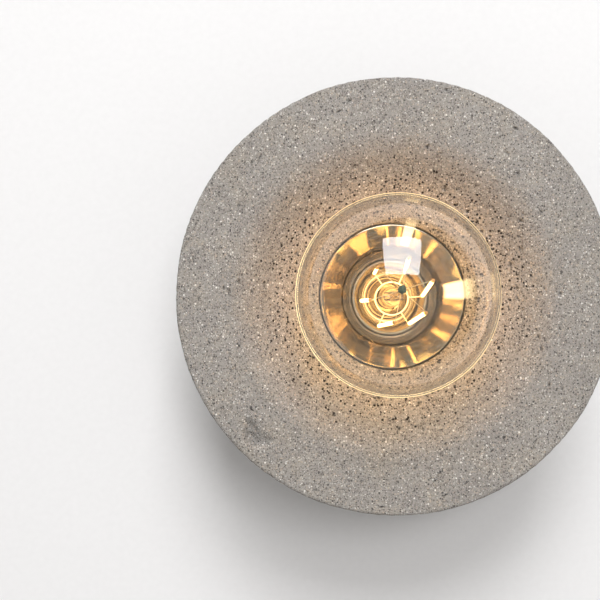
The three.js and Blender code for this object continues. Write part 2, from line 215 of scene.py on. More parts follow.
class Recipe:
    # a material's node tree, with short calls for the nodes that this light uses

    def __init__(self, name):
        self.material = bpy.data.materials.new(name)
        self.material.use_nodes = True
        self.tree = self.material.node_tree
        self.tree.nodes.clear()
        self.output = self.node("ShaderNodeOutputMaterial")
        self.shader = self.node("ShaderNodeBsdfPrincipled")
        self.join(self.shader.outputs["BSDF"], self.output.inputs["Surface"])
        self.place = self.node("ShaderNodeTexCoord").outputs["Object"]

    def node(self, kind, **settings):
        made = self.tree.nodes.new(kind)
        for key, value in settings.items():
            setattr(made, key, value)
        return made

    def join(self, source, target):
        self.tree.links.new(source, target)

    def feed(self, target, value):
        if isinstance(value, bpy.types.NodeSocket):
            self.join(value, target)
        else:
            target.default_value = value

    def set(self, **values):
        # plain values or sockets on the shader, by socket name with underscores for spaces
        for key, value in values.items():
            self.feed(self.shader.inputs[key.replace("_", " ")], value)

    def noise(self, scale, detail=4.0):
        made = self.node("ShaderNodeTexNoise")
        self.join(self.place, made.inputs["Vector"])
        made.inputs["Scale"].default_value = scale
        made.inputs["Detail"].default_value = detail
        made.inputs["Roughness"].default_value = 0.55
        return made

    def cells(self, scale):
        made = self.node("ShaderNodeTexVoronoi")
        self.join(self.place, made.inputs["Vector"])
        made.inputs["Scale"].default_value = scale
        return made

    def ramp(self, source, stops, interpolation="LINEAR"):
        made = self.node("ShaderNodeValToRGB")
        made.color_ramp.interpolation = interpolation
        while len(made.color_ramp.elements) < len(stops):
            made.color_ramp.elements.new(0.5)
        for element, (position, colour) in zip(made.color_ramp.elements, stops):
            element.position = position
            element.color = (*colour, 1)
        self.join(source, made.inputs["Fac"])
        return made.outputs["Color"]

    def remap(self, source, low, high, newLow=0.0, newHigh=1.0, smooth=False):
        made = self.node("ShaderNodeMapRange")
        made.interpolation_type = "SMOOTHSTEP" if smooth else "LINEAR"
        self.join(source, made.inputs["Value"])
        for key, value in (("From Min", low), ("From Max", high), ("To Min", newLow), ("To Max", newHigh)):
            made.inputs[key].default_value = value
        return made.outputs["Result"]

    def maths(self, operation, first, second=0.0):
        made = self.node("ShaderNodeMath", operation=operation)
        self.feed(made.inputs[0], first)
        self.feed(made.inputs[1], second)
        return made.outputs["Value"]

    def blend(self, share, first, second, mode="MIX"):
        made = self.node("ShaderNodeMix", data_type="RGBA", blend_type=mode)
        self.feed(made.inputs["Factor"], share)
        for key, value in (("A", first), ("B", second)):
            socket = [s for s in made.inputs if s.name == key and s.type == "RGBA"][0]
            if isinstance(value, tuple):
                socket.default_value = (*value, 1)
            else:
                self.join(value, socket)
        return [s for s in made.outputs if s.type == "RGBA"][0]

    def bump(self, height, distance, strength=1.0):
        made = self.node("ShaderNodeBump")
        self.join(height, made.inputs["Height"])
        made.inputs["Distance"].default_value = distance
        made.inputs["Strength"].default_value = strength
        return made.outputs["Normal"]

    def axisDistance(self):
        # how far a point is from the light's axis
        parts = self.node("ShaderNodeSeparateXYZ")
        self.join(self.place, parts.inputs["Vector"])
        flat = self.node("ShaderNodeCombineXYZ")
        self.join(parts.outputs["X"], flat.inputs["X"])
        self.join(parts.outputs["Y"], flat.inputs["Y"])
        length = self.node("ShaderNodeVectorMath", operation="LENGTH")
        self.join(flat.outputs["Vector"], length.inputs[0])
        return length.outputs["Value"]

    def height(self):
        parts = self.node("ShaderNodeSeparateXYZ")
        self.join(self.place, parts.inputs["Vector"])
        return parts.outputs["Z"]

    def turn(self):
        # the angle round the light's axis
        parts = self.node("ShaderNodeSeparateXYZ")
        self.join(self.place, parts.inputs["Vector"])
        return self.maths("ARCTAN2", parts.outputs["Y"], parts.outputs["X"])

    def waves(self, value):
        made = self.node("ShaderNodeMath", operation="SINE")
        self.join(value, made.inputs[0])
        return made.outputs["Value"]

    def channels(self, colour):
        made = self.node("ShaderNodeSeparateColor")
        self.join(colour, made.inputs["Color"])
        return made.outputs


def handlingGroup():
    # faint smudges and fine scratches, shared by the metals and plastics
    group = bpy.data.node_groups.new("handling", "ShaderNodeTree")
    for name, kind in (("Vector", "NodeSocketVector"), ("Scale", "NodeSocketFloat")):
        group.interface.new_socket(name, in_out="INPUT", socket_type=kind)
    for name in ("Smudge", "Scratch"):
        group.interface.new_socket(name, in_out="OUTPUT", socket_type="NodeSocketFloat")
    source = group.nodes.new("NodeGroupInput")
    result = group.nodes.new("NodeGroupOutput")
    smudge = group.nodes.new("ShaderNodeTexNoise")
    smudge.inputs["Detail"].default_value = 5
    stretch = group.nodes.new("ShaderNodeVectorMath")
    stretch.operation = "MULTIPLY"
    stretch.inputs[1].default_value = (1, 14, 1)
    scratch = group.nodes.new("ShaderNodeTexNoise")
    scratch.inputs["Detail"].default_value = 2
    quicker = group.nodes.new("ShaderNodeMath")
    quicker.operation = "MULTIPLY"
    quicker.inputs[1].default_value = 6
    links = group.links
    links.new(source.outputs["Vector"], smudge.inputs["Vector"])
    links.new(source.outputs["Scale"], smudge.inputs["Scale"])
    links.new(source.outputs["Vector"], stretch.inputs[0])
    links.new(stretch.outputs["Vector"], scratch.inputs["Vector"])
    links.new(source.outputs["Scale"], quicker.inputs[0])
    links.new(quicker.outputs["Value"], scratch.inputs["Scale"])
    links.new(smudge.outputs["Fac"], result.inputs["Smudge"])
    links.new(scratch.outputs["Fac"], result.inputs["Scratch"])
    return group


handling = handlingGroup()


def addHandling(recipe, scale):
    made = recipe.node("ShaderNodeGroup")
    made.node_tree = handling
    recipe.join(recipe.place, made.inputs["Vector"])
    made.inputs["Scale"].default_value = scale
    return made.outputs["Smudge"], made.outputs["Scratch"]


stoneLook = {
    "grainScale": 900.0,  # grains to the metre
    # air holes, painted near-black for the shade inside them: cells to the metre, size, how many outside
    # and how many near the middle
    "pits": [(950.0, 0.36, 0.02, 0.42), (520.0, 0.34, 0.03, 0.55), (260.0, 0.24, 0.012, 0.16)],
    "pitZone": (50 * mm, 84 * mm),  # most air holes are near the middle, where the lamp's grazing light shows the shade in them
    # painted shade colour inside the air holes and knocks
    "pitShadeColour": (0.022, 0.018, 0.016),
    # where the painted lamp glow and the painted shade on the funnel lie, as distances from the axis
    "paintedGlowZone": (45 * mm, 85 * mm),
    "relief": 0.22 * mm,
}


def makeStone():
    recipe = Recipe("castStone")
    coarse = recipe.cells(stoneLook["grainScale"])
    fine = recipe.cells(stoneLook["grainScale"] * 1.8)
    palette = [
        (0.0, (0.10, 0.093, 0.09)), (0.14, (0.19, 0.175, 0.16)), (0.34, (0.29, 0.272, 0.25)),
        (0.58, (0.38, 0.36, 0.335)), (0.78, (0.47, 0.41, 0.35)), (0.87, (0.53, 0.51, 0.485)),
        (0.965, (0.78, 0.77, 0.75)),
    ]
    coarseTone = recipe.channels(coarse.outputs["Color"])
    fineTone = recipe.channels(fine.outputs["Color"])
    coarseColour = recipe.ramp(coarseTone["Red"], palette, "CONSTANT")
    fineColour = recipe.ramp(fineTone["Green"], palette, "CONSTANT")
    coarseShape = recipe.remap(coarse.outputs["Distance"], 0.36, 0.5, 1.0, 0.0, smooth=True)
    fineShape = recipe.remap(fine.outputs["Distance"], 0.4, 0.55, 1.0, 0.0, smooth=True)
    drift = recipe.noise(38, 4)
    cement = recipe.ramp(drift.outputs["Fac"], [(0.3, (0.31, 0.298, 0.28)), (0.7, (0.35, 0.338, 0.32))])
    colour = recipe.blend(fineShape, cement, fineColour)
    few = recipe.remap(coarseTone["Blue"], 0.28, 0.34, 0.0, 1.0)  # only some coarse grains come to the face
    colour = recipe.blend(recipe.maths("MULTIPLY", coarseShape, few), colour, coarseColour)
    tints = recipe.noise(70, 2)
    tint = recipe.ramp(
        tints.outputs["Fac"],
        [(0.36, (1.02, 1.0, 0.98)), (0.5, (1.05, 1.03, 1.0)), (0.64, (1.08, 1.04, 0.98))],
    )
    colour = recipe.blend(1.0, colour, tint, "MULTIPLY")
    away = recipe.axisDistance()
    # painted lamp glow and painted shade: paler and warmer round the lamp, a little darker where the funnel
    # starts
    inner = recipe.ramp(
        recipe.remap(away, *stoneLook["paintedGlowZone"]),
        [(0.0, (1.26, 1.16, 1.08)), (0.45, (0.86, 0.85, 0.85)), (1.0, (1.0, 1.0, 1.0))],
    )
    colour = recipe.blend(1.0, colour, inner, "MULTIPLY")
    paintedHoleShade = None
    for scale, size, outerCrowd, innerCrowd in stoneLook["pits"]:
        pits = recipe.cells(scale)
        tone = recipe.channels(pits.outputs["Color"])
        crowd = recipe.remap(away, *stoneLook["pitZone"], innerCrowd, outerCrowd, smooth=True)
        chosen = recipe.maths("SUBTRACT", tone["Blue"], recipe.maths("SUBTRACT", 1.0, crowd))
        chosen = recipe.remap(chosen, 0.0, 0.25, 0.0, size)
        pit = recipe.remap(recipe.maths("SUBTRACT", chosen, pits.outputs["Distance"]), 0.0, 0.04)
        paintedHoleShade = pit if paintedHoleShade is None else recipe.maths("MAXIMUM", paintedHoleShade, pit)
    # the hole attribute holds painted shade for the air holes and knocks made in the mesh
    holes = recipe.node("ShaderNodeAttribute", attribute_name="hole")
    paintedHoleShade = recipe.maths("MAXIMUM", paintedHoleShade, holes.outputs["Fac"])
    # air holes and knocks painted near-black: painted shade inside them
    colour = recipe.blend(paintedHoleShade, colour, stoneLook["pitShadeColour"])
    rough = recipe.noise(1500, 3)
    relief = recipe.maths("MULTIPLY", recipe.maths("ADD", coarseShape, fineShape), 0.5)
    relief = recipe.maths("ADD", relief, recipe.maths("MULTIPLY", rough.outputs["Fac"], 0.7))
    relief = recipe.maths("SUBTRACT", relief, recipe.maths("MULTIPLY", paintedHoleShade, 3.0))
    recipe.set(
        Base_Color=colour,
        Roughness=recipe.remap(coarseTone["Green"], 0, 1, 0.72, 0.97),
        Normal=recipe.bump(relief, stoneLook["relief"]),
        Specular_IOR_Level=0.35,
    )
    return recipe.material


def makeMetal(name, colour, roughness, spread, scale=60, spun=0.0, lobes=()):
    recipe = Recipe(name)
    smudge, scratch = addHandling(recipe, scale)
    darker = tuple(c * 0.86 for c in colour)
    recipe.set(
        Metallic=1.0,
        Base_Color=recipe.blend(recipe.remap(smudge, 0.3, 0.7), darker, colour),
        Roughness=recipe.remap(smudge, 0.25, 0.75, roughness, roughness + spread),
    )
    if spun:
        # faint rings left by the lathe
        rings = recipe.waves(recipe.maths("MULTIPLY", recipe.axisDistance(), spun))
        relief = recipe.maths("ADD", recipe.maths("MULTIPLY", rings, 0.4), scratch)
        if lobes:
            # pressed sheet is never quite round, which breaks up what it mirrors
            angle = recipe.turn()
            for count, tall in lobes:
                wave = recipe.waves(recipe.maths("MULTIPLY", angle, count))
                relief = recipe.maths("ADD", relief, recipe.maths("MULTIPLY", wave, tall))
        recipe.set(Normal=recipe.bump(relief, 0.000004, 1.0 if lobes else 0.4))
    else:
        recipe.set(Normal=recipe.bump(scratch, 0.00003, 0.35))
    return recipe.material


def makeCoated(name, colour, roughness, grain=900, depth=0.00004, spread=0.12):
    # paint, rubber, nylon and glaze: one colour family with its own grain
    recipe = Recipe(name)
    smudge, _ = addHandling(recipe, 45)
    grains = recipe.noise(grain, 3)
    lighter = tuple(min(1.0, c * 1.18 + 0.004) for c in colour)
    recipe.set(
        Base_Color=recipe.blend(recipe.remap(smudge, 0.3, 0.7), colour, lighter),
        Roughness=recipe.remap(smudge, 0.25, 0.75, roughness, roughness + spread),
        Normal=recipe.bump(grains.outputs["Fac"], depth, 0.7),
    )
    return recipe.material


# painted edge tint and painted glow colour for the globe glass; the shade is the tint of the shadow it lets
# through
glassLook = {"paintedEdgeTint": (0.93, 0.80, 0.58), "glow": (1.0, 0.78, 0.42), "shade": (0.97, 0.95, 0.9)}
globeMiddle = -114 * mm


def makeGlass(name, tint, roughness=0.0, edge=0.0, wave=0.00012, paintedReflections=()):
    # clear glass that lets lamps through, with the faintest streaks from blowing
    recipe = Recipe(name)
    streaks = recipe.noise(26, 2)
    facing = recipe.node("ShaderNodeLayerWeight").outputs["Facing"]
    paler = tuple(min(1, c * 1.02) for c in tint)
    body = recipe.blend(recipe.remap(streaks.outputs["Fac"], 0.3, 0.7), tint, paler)
    if edge:
        # painted edge glow: a golden tint where the glass is seen edge-on
        body = recipe.blend(recipe.remap(facing, 0.75, 0.97), body, glassLook["paintedEdgeTint"])
    recipe.set(
        Transmission_Weight=1.0,
        IOR=1.5,
        Roughness=roughness,
        Base_Color=body,
        Normal=recipe.bump(streaks.outputs["Fac"], wave, 0.25),
    )
    if edge:
        # painted glow: the lamp's own light, which runs round inside the wall and comes out at its edge, is
        # painted as emission there
        uneven = recipe.noise(14, 1)
        patchy = recipe.remap(uneven.outputs["Fac"], 0.35, 0.65, 0.3, 1.0)
        glow = recipe.maths("MULTIPLY", recipe.remap(facing, 0.87, 0.965), patchy)
        # and painted reflections: the filaments, mirrored, blurred and large in the wall behind them, are
        # painted there as emission patches
        angle = recipe.turn()
        away = recipe.axisDistance()
        for turn, spread, near, far in paintedReflections:
            aside = recipe.maths("ABSOLUTE", recipe.maths("SUBTRACT", angle, turn))
            paintedReflectionPatch = recipe.remap(aside, spread * 0.7, spread, 0.34, 0.0)
            for limit in (
                recipe.remap(away, near, near + 1.2 * mm),
                recipe.remap(away, far - 7 * mm, far, 1.0, 0.0),
                recipe.remap(recipe.height(), globeMiddle, globeMiddle + 2 * mm),
                recipe.remap(facing, 0.2, 0.9, 1.0, 0.35),
            ):
                paintedReflectionPatch = recipe.maths("MULTIPLY", paintedReflectionPatch, limit)
            glow = recipe.maths("MAXIMUM", glow, paintedReflectionPatch)
        recipe.set(
            Emission_Color=recipe.blend(glow, (0.0, 0.0, 0.0), glassLook["glow"]),
            Emission_Strength=edge,
        )
    clear = recipe.node("ShaderNodeBsdfTransparent")
    clear.inputs["Color"].default_value = (*glassLook["shade"], 1)
    path = recipe.node("ShaderNodeLightPath")
    mix = recipe.node("ShaderNodeMixShader")
    recipe.join(path.outputs["Is Shadow Ray"], mix.inputs["Fac"])
    recipe.join(recipe.shader.outputs["BSDF"], mix.inputs[1])
    recipe.join(clear.outputs["BSDF"], mix.inputs[2])
    recipe.join(mix.outputs["Shader"], recipe.output.inputs["Surface"])
    return recipe.material


filamentLook = {
    "glow": 12.0,
    "warm": (1.0, 0.66, 0.24),
    "tip": (0.85, 0.36, 0.06),
    "mirrored": 0.42,  # share of the glow where it is seen in the cup
    "inWall": 7.0,  # how much stronger it is in the globe's own wall
    "chipPitch": 1.4 * mm,
}


def makeFilament(frontZ, rearZ):
    # phosphor strip that glows between its two unlit orange ends
    recipe = Recipe("filamentPhosphor")
    chips = recipe.waves(recipe.maths("MULTIPLY", recipe.height(), 2 * math.pi / filamentLook["chipPitch"]))
    beads = recipe.remap(chips, -1, 1, 0.75, 1.0)
    fromFront = recipe.remap(recipe.height(), frontZ + 2.2 * mm, frontZ + 3.2 * mm, 0.02, 1.0)
    fromRear = recipe.remap(recipe.height(), rearZ - 2.2 * mm, rearZ - 1.6 * mm, 1.0, 0.02)
    lit = recipe.maths("MULTIPLY", recipe.maths("MULTIPLY", fromFront, fromRear), beads)
    # softer where it is seen in the cup, through the globe twice
    path = recipe.node("ShaderNodeLightPath")
    seen = recipe.remap(path.outputs["Transmission Depth"], 4.0, 5.0, 1.0, filamentLook["mirrored"])
    # and brighter as the faint image that the globe's own back wall throws
    bounced = recipe.maths("SUBTRACT", path.outputs["Is Glossy Ray"], path.outputs["Is Transmission Ray"])
    inside = recipe.remap(path.outputs["Transmission Depth"], 2.0, 3.0, 1.0, 0.0)
    inWall = recipe.remap(recipe.maths("MULTIPLY", bounced, inside), 0, 1, 1.0, filamentLook["inWall"])
    grain = recipe.noise(2500, 2)
    mottle = recipe.remap(grain.outputs["Fac"], 0.3, 0.7)
    shown = recipe.maths("MULTIPLY", lit, seen)
    recipe.set(
        Base_Color=recipe.blend(mottle, filamentLook["tip"], (0.9, 0.5, 0.12)),
        Roughness=recipe.remap(grain.outputs["Fac"], 0.2, 0.8, 0.35, 0.55),
        Emission_Color=recipe.blend(shown, (0.0, 0.0, 0.0), filamentLook["warm"]),
        Emission_Strength=recipe.maths("MULTIPLY", inWall, filamentLook["glow"]),
    )
    return recipe.material


stone = makeStone()
cupLobes = [(5, 75.0), (9, 42.0)]  # how many to the turn, and how tall beside the lathe's rings
# the cup's tint, warmer than the nickel's, is painted warm lamp light that the polished cup mirrors
chrome = makeMetal("polishedCup", (0.66, 0.57, 0.46), 0.035, 0.04, 40, spun=42000.0, lobes=cupLobes)
nickel = makeMetal("nickelPlate", (0.72, 0.68, 0.6), 0.18, 0.12)
zinc = makeMetal("zincPlate", (0.62, 0.63, 0.64), 0.3, 0.16, 90)
darkChrome = makeMetal("ridgedRing", (0.62, 0.56, 0.48), 0.12, 0.1, 60, spun=52000.0)
brass = makeMetal("brass", (0.78, 0.56, 0.26), 0.2, 0.15, 90)
paintedSteel = makeCoated("housingPaint", (0.045, 0.045, 0.047), 0.46)
porcelain = makeCoated("porcelain", (0.8, 0.78, 0.73), 0.16, 300, 0.00002)
rubber = makeCoated("rubber", (0.02, 0.02, 0.021), 0.7)
nylon = makeCoated("nylon", (0.72, 0.72, 0.68), 0.42)
blackGlass = makeCoated("capGlass", (0.015, 0.014, 0.018), 0.1, 200, 0.00001)
carrierWire = makeCoated("carrierWire", (0.86, 0.72, 0.44), 0.22, 600, 0.00001)
boardTan = makeCoated("circuitBoard", (0.48, 0.36, 0.17), 0.5)
brownSleeve = makeCoated("brownSleeve", (0.16, 0.07, 0.035), 0.4)
blueSleeve = makeCoated("blueSleeve", (0.04, 0.12, 0.4), 0.4)
greenSleeve = makeCoated("greenSleeve", (0.16, 0.36, 0.05), 0.4)
# painted reflections of the filaments in the globe: angle, spread, nearest and furthest from the axis
paintedFilamentReflections = [(-1.33, 0.085, 26 * mm, 40 * mm), (-0.1, 0.15, 26 * mm, 41 * mm)]
globeGlass = makeGlass("globeGlass", (1.0, 0.985, 0.95), edge=2.2, paintedReflections=paintedFilamentReflections)
stemGlass = makeGlass("stemGlass", (0.97, 0.93, 0.86), 0.03)
beadGlass = makeCoated("beadGlass", (0.10, 0.16, 0.10), 0.18, 700, 0.0001)
print("materials made")


# The stone dish

dishLow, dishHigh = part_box("stone_dish")
dish = {
    "radius": dishHigh.x,
    "rim": dishLow.z,
    "back": dishHigh.z,
    "hole": 37.2 * mm,
    "funnelStart": 79 * mm,
    "funnelDepth": 20.5 * mm,
    "bend": 12 * mm,  # how far the flat rim takes to turn into the funnel
    "edge": 10 * mm,
    "steps": 384,
    "spacing": 0.6 * mm,
    "holes": 300,
    "dentAt": (135, 95 * mm),  # angle and distance from the axis of the knock in the rim
    "seed": 7,
}


def dishFrontHeight(r):
    slope = dish["funnelDepth"] / (dish["funnelStart"] - dish["bend"] / 2 - dish["hole"])
    into = max(0.0, dish["funnelStart"] - r)
    if into < dish["bend"]:
        return dish["rim"] + slope * into * into / (2 * dish["bend"])
    return dish["rim"] + slope * (into - dish["bend"] / 2)


def dishOutline():
    radius, rim, back = dish["radius"], dish["rim"], dish["back"]
    backPoints = [
        (dish["hole"], back), (54 * mm, back), (57 * mm, back - 1.6 * mm),
        (radius - 21 * mm, rim + dish["edge"] + 1.0 * mm), (radius - 15 * mm, rim + dish["edge"]),
        (radius - 1.6 * mm, rim + dish["edge"]),
    ]
    outline = []
    for (r0, z0), (r1, z1) in zip(backPoints, backPoints[1:]):
        count = max(2, int(math.hypot(r1 - r0, z1 - z0) / (1.6 * mm)))
        outline += [(r0 + (r1 - r0) * i / count, z0 + (z1 - z0) * i / count) for i in range(count)]
    outline += arcPoints(radius - 1.6 * mm, rim + dish["edge"] - 1.6 * mm, 1.6 * mm, 90, 0, 4)
    side = dish["edge"] - 1.4 * mm
    outline += [(radius, rim + dish["edge"] - share * side) for share in (0.3, 0.45, 0.6, 0.75, 0.9)]
    outline += arcPoints(radius - 1.4 * mm, rim + 1.4 * mm, 1.4 * mm, 0, -90, 4)
    start, end = radius - 1.4 * mm, dish["hole"] + 0.5 * mm
    count = int((start - end) / dish["spacing"])
    for i in range(1, count + 1):
        r = start + (end - start) * i / count
        outline.append((r, dishFrontHeight(r)))
    top = dishFrontHeight(dish["hole"])
    outline += [(dish["hole"] + 0.15 * mm, top + 0.1 * mm), (dish["hole"], top + 0.5 * mm)]
    outline += [(dish["hole"], top + (back - top) * share) for share in (0.3, 0.55, 0.8)]
    return outline


def roughenDish(piece):
    points = readPoints(piece)
    chance = random.Random(dish["seed"])
    away = np.hypot(points[:, 0], points[:, 1])
    angle = np.arctan2(points[:, 1], points[:, 0])
    front = points[:, 2] < np.array([dishFrontHeight(r) for r in away]) + 0.2 * mm
    # the rim runs a little out of true
    edge = np.clip((away - dish["radius"] + 3 * mm) / (3 * mm), 0, 1)
    wobble = sum(
        math.pow(0.72, k) * np.sin(angle * (3 + 5 * k) + chance.uniform(0, 6.28)) for k in range(9)
    )
    fine = sum(np.sin(angle * chance.randint(60, 150) + chance.uniform(0, 6.28)) for _ in range(6))
    inward = edge * (wobble * 0.09 + fine * 0.035 + 0.25) * mm
    points[:, 0] -= np.cos(angle) * inward
    points[:, 1] -= np.sin(angle) * inward
    points[:, 2] += edge * fine * 0.03 * mm * front
    # knocks and air holes, each a small bowl with painted shade in its hollow, kept in the hole attribute
    hole = np.zeros(len(points))
    bowls = []
    dentAngle, dentAway = math.radians(dish["dentAt"][0]), dish["dentAt"][1]
    for _ in range(9):
        a = dentAngle + chance.uniform(-0.06, 0.06)
        r = dentAway + chance.uniform(-3.5, 3.5) * mm
        size = chance.uniform(2.0, 4.2) * mm
        depth = chance.uniform(1.0, 1.9) * mm
        bowls.append((r * math.cos(a), r * math.sin(a), size, depth, 0.12))
    for _ in range(dish["holes"]):
        r = dish["hole"] + (dish["radius"] - dish["hole"] - 2 * mm) * chance.random() ** 1.5
        a = chance.uniform(0, 2 * math.pi)
        size = (0.4 + 0.6 * chance.random() ** 3) * mm
        bowls.append((r * math.cos(a), r * math.sin(a), size, size * 0.8, 1.0))
    for x, y, size, depth, holeShade in bowls:
        near = np.hypot(points[:, 0] - x, points[:, 1] - y) / size
        inside = front & (near < 1)
        points[inside, 2] += depth * (1 - near[inside] ** 2)
        hole[inside] = np.maximum(hole[inside], holeShade * np.clip(1.5 - 1.5 * near[inside], 0, 1))
    writePoints(piece, points)
    piece.data.attributes.new("hole", "FLOAT", "POINT").data.foreach_set("value", hole)


stoneDish = turnOutline("stoneDish", dishOutline(), dish["steps"], 50)
roughenDish(stoneDish)
fit(stoneDish, stone, "fixture", "stone", "stone_dish")
print("stone dish made:", len(stoneDish.data.polygons), "faces")


# The polished cup and the lampholder's front

cup = {
    "lip": 35.6 * mm,
    "lipZ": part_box("reflector_cup")[0].z,
    "throat": 25.3 * mm,
    "throatZ": -73.2 * mm,
    "floorZ": -58.9 * mm,
    "floorHole": 20.4 * mm,
    "wall": 0.8 * mm,
    "steps": 192,
}


def cupOutline():
    lipZ, throatZ, floorZ, wall = cup["lipZ"], cup["throatZ"], cup["floorZ"], cup["wall"]
    inner = [
        (cup["lip"], lipZ + 0.2 * mm), (cup["throat"] + 0.7 * mm, throatZ - 0.5 * mm),
        (cup["throat"], throatZ + 0.2 * mm), (cup["throat"] - 0.3 * mm, floorZ - 1 * mm),
        (cup["throat"] - 1.2 * mm, floorZ), (cup["floorHole"], floorZ),
    ]
    outer = [
        (cup["floorHole"], floorZ + wall), (cup["throat"] - 0.6 * mm, floorZ + wall),
        (cup["throat"] + wall, floorZ - 0.6 * mm), (cup["throat"] + wall, throatZ + 0.4 * mm),
        (cup["lip"] + 0.9 * mm, lipZ + 0.5 * mm), (cup["lip"] + 0.6 * mm, lipZ),
    ]
    return roundCorners(inner + outer, 0.4 * mm)


reflectorCup = turnOutline("reflectorCup", cupOutline(), cup["steps"], 40)
fit(reflectorCup, chrome, "fixture", "chrome", "reflector_cup")

holder = {
    "skirt": 19.5 * mm,
    "bore": 15.2 * mm,
    "flange": 24 * mm,
    "flangeFront": -57.8 * mm,
    "nose": 19.9 * mm,
    "ringOuter": 24.4 * mm,
    "ringInner": 20.2 * mm,
    "steps": 128,
    "rings": 5,
}


def skirtOutline():
    low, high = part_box("lampholder_skirt")
    return roundCorners([
        (holder["bore"], high.z), (holder["skirt"], high.z), (holder["skirt"], -52.6 * mm),
        (holder["flange"], -54 * mm), (holder["flange"], holder["flangeFront"]),
        (holder["nose"], holder["flangeFront"]), (holder["nose"], low.z + 0.6 * mm),
        (19.3 * mm, low.z), (18.2 * mm, low.z), (holder["bore"], -50 * mm),
    ], 0.35 * mm)


def ringOutline():
    # stepped front with a rounded ridge on each step and a groove between
    low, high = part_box("shade_ring")
    outer, inner = holder["ringOuter"], holder["ringInner"]
    outline = [(inner, high.z), (outer, high.z), (outer, high.z - 0.5 * mm)]
    count = holder["rings"]
    for i in range(count):
        r = outer - (outer - inner - 0.5 * mm) * i / count
        z = high.z + (low.z - high.z) * (0.45 + 0.55 * i / (count - 1))
        wide = (outer - inner - 0.5 * mm) / count
        outline += [(r - 0.05 * mm, z + 0.35 * mm), (r - 0.12 * mm, z)]
        outline += [(r - wide * 0.55, z), (r - wide * 0.62, z + 0.5 * mm)]
    outline += [(inner + 0.35 * mm, low.z + 0.3 * mm), (inner, low.z + 0.5 * mm)]
    return roundCorners(outline, 0.12 * mm, 2)


lampholderSkirt = turnOutline("lampholderSkirt", skirtOutline(), holder["steps"], 40)
fit(lampholderSkirt, nickel, "fixture", "chrome", "lampholder_skirt")
shadeRing = turnOutline("shadeRing", ringOutline(), holder["steps"], 40)
fit(shadeRing, darkChrome, "fixture", "chrome", "shade_ring")
print("cup and lampholder made")


# The lamp's glass

globe = {
    "radius": 47.5 * mm,
    "centre": globeMiddle,
    "wall": 0.8 * mm,
    "neck": 13.4 * mm,
    "behind": 41 * mm,  # how far behind the centre the ball ends and the neck's curve starts
    "steps": 160,
}
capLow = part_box("cap_shell")[0]


def globeCurve(inset):
    radius, centre, neck = globe["radius"] - inset, globe["centre"], globe["neck"] - inset
    meet = math.acos(globe["behind"] / globe["radius"])
    end = 90 - math.degrees(meet)
    sphere = arcPoints(0, centre, radius, -90, end, 64)
    meetR, meetZ = sphere[-1]
    turnZ = meetZ + (meetR - neck) / math.tan(math.pi / 2 - meet)
    neckCurve = curvePoints((meetR, meetZ), (neck, turnZ), (neck, capLow.z - 0.5 * mm), 24)
    sphere[0] = (0.0, sphere[0][1])
    return sphere + neckCurve[1:]


def bulbOutline():
    inCap = capLow.z + 5 * mm
    ends = [(12.2 * mm, capLow.z - 0.3 * mm), (12.2 * mm, inCap), (11.4 * mm, inCap)]
    return globeCurve(0) + ends + list(reversed(globeCurve(globe["wall"])))


bulbGlass = turnOutline("bulbGlass", bulbOutline(), globe["steps"], 60, closed=False)
fit(bulbGlass, globeGlass, "lamp", "glass", "bulb_glass")
print("globe made")


# The stem, the wires and the filaments

cage = {
    "rear": Vector((-1.2, 1.2, -91)) * mm,
    "front": Vector((0.7, -2.0, -129)) * mm,
    "radius": 14.9 * mm,
    "start": math.radians(-4),
    "twist": math.radians(-13.5),
    "count": 6,
    "strip": 0.85 * mm,
}


def cagePoint(i, share):
    centre = cage["rear"].lerp(cage["front"], share)
    angle = cage["start"] + i * 2 * math.pi / cage["count"] + cage["twist"] * share
    return centre + Vector((math.cos(angle), math.sin(angle), 0)) * cage["radius"]


def makeStrip(i, material):
    # a flat-sided rod with rounded ends, laid from the rear point to the front point
    rear, front = cagePoint(i, 0), cagePoint(i, 1)
    along = front - rear
    clearSelection()
    bpy.ops.mesh.primitive_cylinder_add(vertices=20, radius=cage["strip"], depth=along.length)
    strip = bpy.context.object
    bpy.ops.object.mode_set(mode="EDIT")
    bpy.ops.mesh.select_all(action="SELECT")
    bpy.ops.transform.resize(value=(1, 0.82, 1), center_override=(0, 0, 0))
    bpy.ops.object.mode_set(mode="OBJECT")
    rounding = strip.modifiers.new("rounding", "BEVEL")
    rounding.width = 0.35 * mm
    rounding.segments = 3
    applyModifiers(strip)
    strip.rotation_mode = "QUATERNION"
    strip.rotation_quaternion = along.to_track_quat("Z", "Y")
    strip.location = (rear + front) / 2
    settle(strip, f"filamentStrip{i + 1}", 40)
    return fit(strip, material, "lamp", "phosphor", f"filament_{i + 1}")


phosphor = makeFilament(cage["front"].z, cage["rear"].z)
for stripIndex in range(cage["count"]):
    makeStrip(stripIndex, phosphor)


def circleOf(centre, radius, count):
    turns = [2 * math.pi * k / count for k in range(count)]
    return [centre + Vector((radius * math.cos(a), radius * math.sin(a), 0)) for a in turns]


def rearCarrier():
    centre = cage["rear"] + Vector((0, 0, -0.7)) * mm
    wires = [drawWire("rearRing", circleOf(centre, 8.1 * mm, 24), 0.36 * mm, 8, closed=True)]
    for i in range(cage["count"]):
        out = (cagePoint(i, 0.0) - cage["rear"]).normalized()
        end = cagePoint(i, 0.0) + Vector((0, 0, 0.6)) * mm
        wires.append(drawWire("spoke", [
            centre + out * 8.1 * mm, centre + out * 10.2 * mm + Vector((0, 0, 0.5)) * mm,
            centre + out * 12.8 * mm + Vector((0, 0, 1.6)) * mm, end, end - Vector((0, 0, 1.4)) * mm,
        ], 0.26 * mm))
    return joinPieces("rearCarrier", wires)


